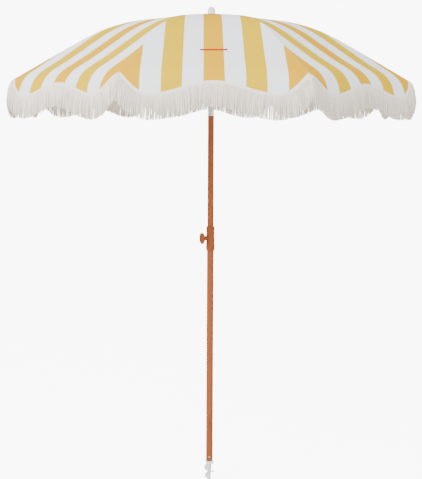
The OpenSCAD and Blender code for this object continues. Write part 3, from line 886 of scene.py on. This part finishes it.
@dataclass
class Canopy:
    """The gores, their hanging edges, the fringe, the stitching and the small tape."""

    shape: GoreShape = field(default_factory=GoreShape)
    gore_cols: int = 72
    gore_rows: int = 76
    edge_cols: int = 112
    edge_rows: int = 14
    cloth_thickness: float = 0.0008
    fringe_total: float = 0.097
    lean_reach: float = 0.028
    heading: float = 0.018
    heading_thickness: float = 0.0012
    tape_s: float = 0.766
    tape_half_width: float = 0.0058
    tape_skew: float = 0.02
    tape_thickness: float = 0.0010
    closed_share: float = 0.14
    strands: int = 320

    def __post_init__(self) -> None:
        """Makes the node trees that the canopy's repeated parts share."""
        self.fringe_nodes = fringe_tree()
        self.stitch_nodes = stitch_tree()

    def azimuth(self, number: int) -> float:
        """Azimuth of a gore's centre; gore 1 faces the front, -Y."""
        return -90.0 + 360.0 / RIBS * (number - 1)

    def fold_up(self, piece: bpy.types.Object, number: int) -> None:
        """Gives a soft piece a mesh of its own; the gore's azimuth is worked out but not used."""
        a = math.radians(self.azimuth(number))
        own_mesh(piece)

    def gore(self, number: int) -> bpy.types.Object:
        """One gore of canopy cloth."""
        sh = self.shape
        us = [math.sin(0.5 * math.pi * (2.0 * j / self.gore_cols - 1.0) * 0.94) / math.sin(0.47 * math.pi)
              for j in range(self.gore_cols + 1)]
        ss = [sh.s_in + (sh.rib.length - sh.s_in) * i / self.gore_rows for i in range(self.gore_rows + 1)]
        points = [sh.point(u, s) for s in ss for u in us]
        places = [(u * sh.half_width(s), s) for s in ss for u in us]
        piece = mesh_object(f"gore_{number}", turned(points, self.azimuth(number)),
                            grid_faces(len(ss), len(us)), CLOTH)
        set_uv(piece, places)
        thicken(piece, self.cloth_thickness)
        return piece

    def gore_area(self) -> float:
        """Flat area of a gore's cut."""
        sh, steps = self.shape, 200
        step = (sh.rib.length - sh.s_in) / steps
        return sum(2.0 * sh.half_width(sh.s_in + (i + 0.5) * step) * step for i in range(steps))

    def hanging_edge(self, number: int) -> bpy.types.Object:
        """The scalloped cloth that hangs below a gore's fold."""
        sh = self.shape
        us = [2.0 * j / self.edge_cols - 1.0 for j in range(self.edge_cols + 1)]
        rows = [i / self.edge_rows for i in range(self.edge_rows + 1)]
        drops = [max(0.0015, sh.scallop(u)) for u in us]
        points = [sh.hang(u * sh.fold_half, q * d, number) for q in rows for u, d in zip(us, drops)]
        places = [(u * sh.fold_half, sh.rib.length + q * d) for q in rows for u, d in zip(us, drops)]
        piece = mesh_object(f"hanging_edge_{number}", turned(points, self.azimuth(number)),
                            grid_faces(len(rows), len(us)), CLOTH)
        set_uv(piece, places)
        thicken(piece, self.cloth_thickness)
        return piece

    def edge_area(self) -> float:
        """Flat area of one hanging edge."""
        steps = 400
        return sum(self.shape.edge_length(2.0 * (i + 0.5) / steps - 1.0) for i in range(steps)) \
            * 2.0 * self.shape.fold_half / steps

    def hem_line(self, number: int, beyond: float, proud: float, count: int = 240) -> list[Point]:
        """Points along the scallop, a distance beyond it and proud of it, in the umbrella's frame."""
        us = [2.0 * j / count - 1.0 for j in range(count + 1)]
        return turned([self.shape.hem(u, beyond, proud, number) for u in us], self.azimuth(number))

    def heading_band(self, number: int) -> bpy.types.Object:
        """The woven heading that the yarn hangs from, sewn to the scallop's edge."""
        rows = (-0.0008, 0.0, 0.004, 0.008, 0.013, self.heading)
        lines = [self.hem_line(number, beyond, 0.0010) for beyond in rows]
        cols = len(lines[0])
        piece = mesh_object(f"fringe_heading_{number}", [p for line in lines for p in line],
                            grid_faces(len(rows), cols), YARN)
        thicken(piece, self.heading_thickness)
        return piece

    @staticmethod
    def guide(lines: Sequence[Sequence[Point]]) -> bpy.types.Object:
        """One object of open lines, all with the same number of points."""
        n = len(lines[0])
        edges = [(n * k + i, n * k + i + 1) for k in range(len(lines)) for i in range(n - 1)]
        return mesh_object("guide", [p for line in lines for p in line], [], None, edges)

    def fringe(self, number: int) -> bpy.types.Object:
        """The yarn strands of one gore, in two layers. Each leaves the heading square to the hem."""
        sh, start = self.shape, self.heading - 0.007
        guide = self.guide([self.hem_line(number, start, proud) for proud in (0.0021, -0.0002)])
        count = len(guide.data.vertices) // 2
        leans = []
        for j in range(count):
            across, out, _ = sh.hem_frame(2.0 * j / (count - 1) - 1.0)
            leans.append((out, across, 0.0))
        lean = guide.data.attributes.new("lean", "FLOAT_VECTOR", "POINT")
        lean.data.foreach_set("vector", [c for v in turned(leans * 2, self.azimuth(number)) for c in v])
        return self.fringe_nodes.run(f"fringe_{number}", guide, Strands=self.strands, Seed=17 * number,
                                     Length=self.fringe_total - start, Lean_Reach=self.lean_reach)

    def stitches(self, number: int) -> bpy.types.Object:
        """Two rows of stitches that hold the heading."""
        guide = self.guide([self.hem_line(number, beyond, 0.0018) for beyond in (0.003, 0.0095)])
        return self.stitch_nodes.run(f"heading_stitches_{number}", guide)

    def seam_stitches(self, number: int) -> bpy.types.Object:
        """A row of stitches along each side of a gore, beside the seams."""
        sh, count = self.shape, 90
        lines = []
        for side in (-1.0, 1.0):
            line = []
            for i in range(count + 1):
                s = sh.s_in + 0.03 + (sh.rib.length - sh.s_in - 0.035) * i / count
                u = side * (1.0 - 0.006 / sh.half_width(s))
                line.append(sh.point(u, s, 0.0006))
            lines.append(line)
        guide = self.guide([turned(line, self.azimuth(number)) for line in lines])
        return self.stitch_nodes.run(f"seam_stitches_{number}", guide, Spacing=0.0045, Thread_Radius=0.0003)

    def tape(self) -> bpy.types.Object:
        """The small red tape sewn across the front gore's centre stripe."""
        sh, half_l, half_w = self.shape, TAPE_HALF_LENGTH, self.tape_half_width
        cols, rows = 48, 6
        points, places = [], []
        for i in range(rows + 1):
            for j in range(cols + 1):
                y = half_l * (2.0 * j / cols - 1.0)
                v = half_w * (2.0 * i / rows - 1.0)
                end = smoothstep((abs(y) - half_l + 0.009) / 0.003)
                crown = 0.0008 + 0.0003 * (1.0 - (v / half_w) ** 2) + 0.0006 * end
                s = self.tape_s + v - self.tape_skew * y
                points.append(sh.point(y / sh.half_width(s), s, crown + 0.0004))
                places.append((y, v))
        piece = mesh_object("red_tape", turned(points, self.azimuth(1)),
                            grid_faces(rows + 1, cols + 1), RED_TAPE)
        set_uv(piece, places)
        thicken(piece, self.tape_thickness)
        return piece

    def build(self) -> None:
        sh = self.shape
        flat = (2.0 * sh.fold_half, sh.rib.length - sh.s_in)
        for number in range(1, RIBS + 1):
            gore, seams = self.gore(number), self.seam_stitches(number)
            on_gore = [seams] + ([self.tape()] if number == 1 else [])
            edge, band = self.hanging_edge(number), self.heading_band(number)
            fringe, stitches = self.fringe(number), self.stitches(number)
            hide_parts(f"panel_{number}")
            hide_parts(f"valance_{number}")
            if number == 1:
                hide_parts("front_tape")
            for body, pieces in (("panel", [gore, *on_gore]), ("valance", [edge, band, fringe, stitches])):
                for piece in pieces:
                    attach(piece, f"{body}_{number}")
                    self.fold_up(piece, number)
            self.gore_area()
            2.0 * sh.fold_half
            sh.edge_length(sh.scallop_peak)
            self.edge_area()
            LOG.info("gore %d with its hanging edge, heading and fringe", number)


# --------------------------------------------------------------------------- crown, clamp and auger


@dataclass
class Crown:
    """The cap on top of the pole and the cloth patch under it."""

    base_z: float = 2.2284
    patch_r: float = 0.046
    hole_r: float = 0.0128
    patch_thickness: float = 0.0009
    white_stripe: float = 0.08
    dome_r: float = 0.0172
    foot_r: float = 0.0182
    flutes: int = 16
    flute_depth: float = 0.022

    def cap(self) -> bpy.types.Object:
        """The milky plastic cap: a skirt with a rolled foot under a tall dome."""
        z, dome_r, foot_r = self.base_z, self.dome_r, self.foot_r
        bevel_r, smooth_r = foot_r - 0.0006, 0.004
        dome = [(0.0, z + 2.0 * dome_r)]
        dome += [(dome_r * math.sin(math.radians(a)), z + dome_r + dome_r * math.cos(math.radians(a)))
                 for a in range(6, 91, 6)]
        foot = [(bevel_r, z + 0.006), (foot_r, z + 0.0045), (foot_r, z + 0.0015), (bevel_r, z),
                (0.012, z), (0.0, z)]

        def fluted(r: float, h: float, a: float) -> float:
            """Presses shallow flutes into the dome."""
            if h <= z + 0.007:
                return r
            return r * (1.0 - self.flute_depth * (0.5 + 0.5 * math.cos(self.flutes * a))
                        * smoothstep((r - smooth_r) / 0.01))

        return lathe("crown_cap", dome + foot, WHITE_PLASTIC, 128, fluted)

    def patch(self) -> bpy.types.Object:
        """The round reinforcing cloth, which follows the gores' fall and waves a little at its edge."""
        rings, around = 12, 96
        points, places = [], []
        for i in range(rings + 1):
            r = self.hole_r + (self.patch_r - self.hole_r) * i / rings
            for j in range(around):
                a = FULL_TURN * j / around
                fall = 0.0022 * (r / self.patch_r) ** 2
                wave = 0.0005 * (r / self.patch_r) ** 3 * math.cos(RIBS * a)
                points.append((r * math.cos(a), r * math.sin(a), self.base_z - 0.0009 - fall + wave))
                places.append((self.white_stripe, r))
        piece = mesh_object("crown_patch", points, grid_faces(rings + 1, around, closed=True), CLOTH)
        set_uv(piece, places)
        thicken(piece, self.patch_thickness)
        return piece

    def build(self) -> None:
        """Builds the cap and the patch."""
        cap, patch = self.cap(), self.patch()
        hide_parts("finial_cap")
        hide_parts("top_patch")
        for piece in (cap, patch):
            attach(piece, "upper_pole")
        LOG.info("crown cap and patch")


@dataclass
class Clamp:
    """The knob that clamps the sliding tube."""

    height: float = 1.172
    azimuth: float = 200.0
    radius: float = 0.027
    near: float = 0.0343
    far: float = 0.0485
    lobes: int = 10
    lobe_depth: float = 0.0030

    def knob(self) -> bpy.types.Object:
        """The lobed knob, with a hollow round its domed centre."""
        r, near, far = self.radius, self.near, self.far
        profile = rounded([
            (0.0, near - 0.003), (0.007, near - 0.003), (0.0085, near), (r - 0.005, near), (r, near + 0.004),
            (r, far - 0.004), (r - 0.005, far), (0.0145, far), (0.0125, far - 0.0022), (0.0105, far - 0.0004),
            (0.006, far + 0.0014), (0.0, far + 0.0018)], 0.0022)
        low, high = r - 0.008, r

        def lobed(q: float, _: float, a: float) -> float:
            """Scallops the rim between the lobes."""
            depth = self.lobe_depth * smoothstep((q - low) / (high - low))
            return q - depth * (0.5 - 0.5 * math.cos(self.lobes * a)) ** 1.6

        piece = lathe("clamp_hand_knob", profile, TERRACOTTA, 200, lobed)
        turn = (Matrix.Rotation(math.radians(self.azimuth), 4, "Z")
                @ Matrix.Rotation(math.radians(90.0), 4, "Y"))
        place_by(piece, Matrix.Translation((0.0, 0.0, self.height)) @ turn)
        return piece

    def build(self) -> None:
        """Builds the knob."""
        knob = self.knob()
        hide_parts("clamp_knob")
        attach(knob, "clamp_knob")
        LOG.info("clamp knob")


@dataclass
class Auger:
    """The plastic sand screw at the pole's foot."""

    length: float = 0.125
    flange: float = 0.012
    plug_r: float = 0.01475
    blade_r: float = 0.024
    pitch: float = 0.038
    lowest_blade: float = 0.010
    root_r: float = 0.0035
    root_half: float = 0.0016
    rim_half: float = 0.0007
    tip_blade_r: float = 0.009

    def core(self) -> bpy.types.Object:
        """The tapered core with its flange and the plug inside the pole."""
        top = self.length
        profile = rounded([
            (0.0, 0.0), (0.0018, 0.001), (0.006, 0.040), (0.011, top - self.flange - 0.006),
            (0.0174, top - self.flange), (0.0174, top - 0.0002), (self.plug_r, top - 0.0002),
            (self.plug_r, top + 0.040), (0.0125, top + 0.042), (0.0, top + 0.042)], 0.0018)
        return lathe("auger_core", profile, WHITE_PLASTIC, 72)

    def blade(self) -> bpy.types.Object:
        """The helical blade, thick at its root and fine at its rim, that narrows towards the tip."""
        steps, across = 200, 8
        z0, z1 = self.lowest_blade, self.length - self.flange - 0.003
        points: list[Point] = []
        for i in range(steps + 1):
            z = z0 + (z1 - z0) * i / steps
            a = FULL_TURN * (z1 - z) / self.pitch
            rim = self.tip_blade_r + (self.blade_r - self.tip_blade_r) * min(1.0, z / (0.55 * self.length))
            ring = [(self.root_r + (rim - self.root_r) * j / across,
                     self.root_half - (self.root_half - self.rim_half) * j / across)
                    for j in range(across + 1)]
            outline = ring + [(rim + 0.0006, 0.0)] + [(r, -t) for r, t in reversed(ring)]
            points += [(r * math.cos(a), r * math.sin(a), z + t) for r, t in outline]
        around = 2 * (across + 1) + 1
        faces: list[Sequence[int]] = list(grid_faces(steps + 1, around, closed=True))
        faces += [tuple(range(around)), tuple(range(steps * around, (steps + 1) * around))]
        piece = mesh_object("auger_blade", points, faces, WHITE_PLASTIC)
        point_outwards(piece)
        return piece

    def build(self) -> None:
        """Builds the core and the blade."""
        core, blade = self.core(), self.blade()
        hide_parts("sand_auger")
        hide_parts("sand_auger")
        for piece in (core, blade):
            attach(piece, "lower_pole")
        LOG.info("sand auger")


# --------------------------------------------------------------------------- carried-over parts


@dataclass
class Frame:
    """The parts that keep the model's own shape, with the finish that each one has."""

    finishes: dict[str, Finish] = field(default_factory=lambda: {
        "lower_pole": WOOD_LOOK, "mid_pole": WOOD_LOOK, "pole_collar": TERRACOTTA, "trim_ring": DARK_PLASTIC,
        "tilt_socket": CHROME, "upper_pole": CHROME, "tilt_pin": CHROME, "tilt_button": CHROME,
        "runner_lock": CHROME, "guide_ring": WHITE_PLASTIC, "crown_hub": WHITE_PLASTIC,
        "runner": WHITE_PLASTIC, "auger_screw": ZINC, "clamp_nut": ZINC, "clamp_screw": ZINC, "button_spring": ZINC,
        "crown_wire": ZINC, "runner_wire": ZINC, "finial_screw": ZINC})

    def build(self) -> None:
        """Dresses every part that is kept."""
        chosen = dict(self.finishes)
        for number in range(1, RIBS + 1):
            chosen[f"rib_{number}"] = WHITE_STEEL
            chosen[f"stretcher_{number}"] = WHITE_STEEL
        for name, finish in chosen.items():
            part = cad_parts[name]
            part.data.materials.clear()
            part.data.materials.append(finish.material())
        LOG.info("%d parts of the pole and frame dressed", len(chosen))


# --------------------------------------------------------------------------- studio


@dataclass
class Studio:
    """The camera, the floor and the soft light."""

    distance: float = 3.70
    eye_z: float = 1.757
    turn: float = 0.73
    roll: float = 0.28
    shift_y: float = -0.2975
    sensor_mm: float = 36.0
    lens_mm: float = 66.9
    ambient: float = 1.25
    backdrop: float = 9.0

    def camera(self) -> None:
        """A level camera in front of the umbrella, its picture shifted down to take in the pole."""
        data = bpy.data.cameras.new("camera")
        data.sensor_fit = "HORIZONTAL"
        data.sensor_width, data.lens = self.sensor_mm, self.lens_mm
        data.shift_y = self.shift_y
        data.clip_start, data.clip_end = 0.05, 60.0
        made = bpy.data.objects.new("camera", data)
        bpy.context.collection.objects.link(made)
        t = math.radians(self.turn)
        made.location = (-self.distance * math.sin(t), -self.distance * math.cos(t), self.eye_z)
        made.rotation_euler = (Matrix.Rotation(-t, 4, "Z") @ Matrix.Rotation(math.radians(90.0), 4, "X")
                               @ Matrix.Rotation(math.radians(self.roll), 4, "Z")).to_euler()
        bpy.context.scene.camera = made

    def floor(self) -> None:
        """A wide pale floor."""
        half = 14.0
        corners = [(-half, -half, 0.0), (half, -half, 0.0), (half, half, 0.0), (-half, half, 0.0)]
        piece = mesh_object("studio_floor", corners, [(0, 1, 2, 3)], None, smooth=False)
        material = bpy.data.materials.new("studio_floor")
        material.use_nodes = True
        graph = Graph(material.node_tree)
        shader = graph.first("BSDF_PRINCIPLED")
        Finish.fix(shader, Base_Color=(0.93, 0.93, 0.93, 1.0), Roughness=0.9,
                   Emission_Strength=self.backdrop - self.ambient)
        Finish.feed(graph, shader, Emission_Color=graph.out("ShaderNodeLightPath", output="Is Camera Ray"))
        piece.data.materials.append(material)

    @staticmethod
    def light(name: str, place: Point, target: Point, size: float, power: float) -> None:
        """One square area light that faces a target."""
        data = bpy.data.lights.new(name, "AREA")
        data.shape, data.size, data.energy = "SQUARE", size, power
        made = bpy.data.objects.new(name, data)
        bpy.context.collection.objects.link(made)
        made.location = place
        made.rotation_euler = (Vector(target) - Vector(place)).to_track_quat("-Z", "Y").to_euler()

    def build(self) -> None:
        """Sets the stage."""
        self.camera()
        self.floor()
        world = bpy.data.worlds.new("studio")
        world.use_nodes = True
        graph = Graph(world.node_tree)
        background = graph.first("BACKGROUND")
        Finish.fix(background, Color=(1.0, 1.0, 1.0, 1.0))
        seen = graph.out("ShaderNodeLightPath", output="Is Camera Ray")
        Finish.feed(graph, background, Strength=self.ambient + seen * (self.backdrop - self.ambient))
        bpy.context.scene.world = world
        self.light("key", (-2.6, -3.4, 4.2), (0.0, 0.0, 1.6), 2.6, 370.0)
        self.light("fill", (3.4, -2.6, 2.6), (0.0, 0.0, 1.4), 3.0, 70.0)
        LOG.info("camera, floor and lights")


def main() -> None:
    """Builds the umbrella and its stage, in order."""
    logging.basicConfig(level=logging.INFO, format="%(name)s: %(message)s")
    Studio().build()
    Frame().build()
    Canopy().build()
    Crown().build()
    Clamp().build()
    Auger().build()


if __name__ == "__main__":
    main()
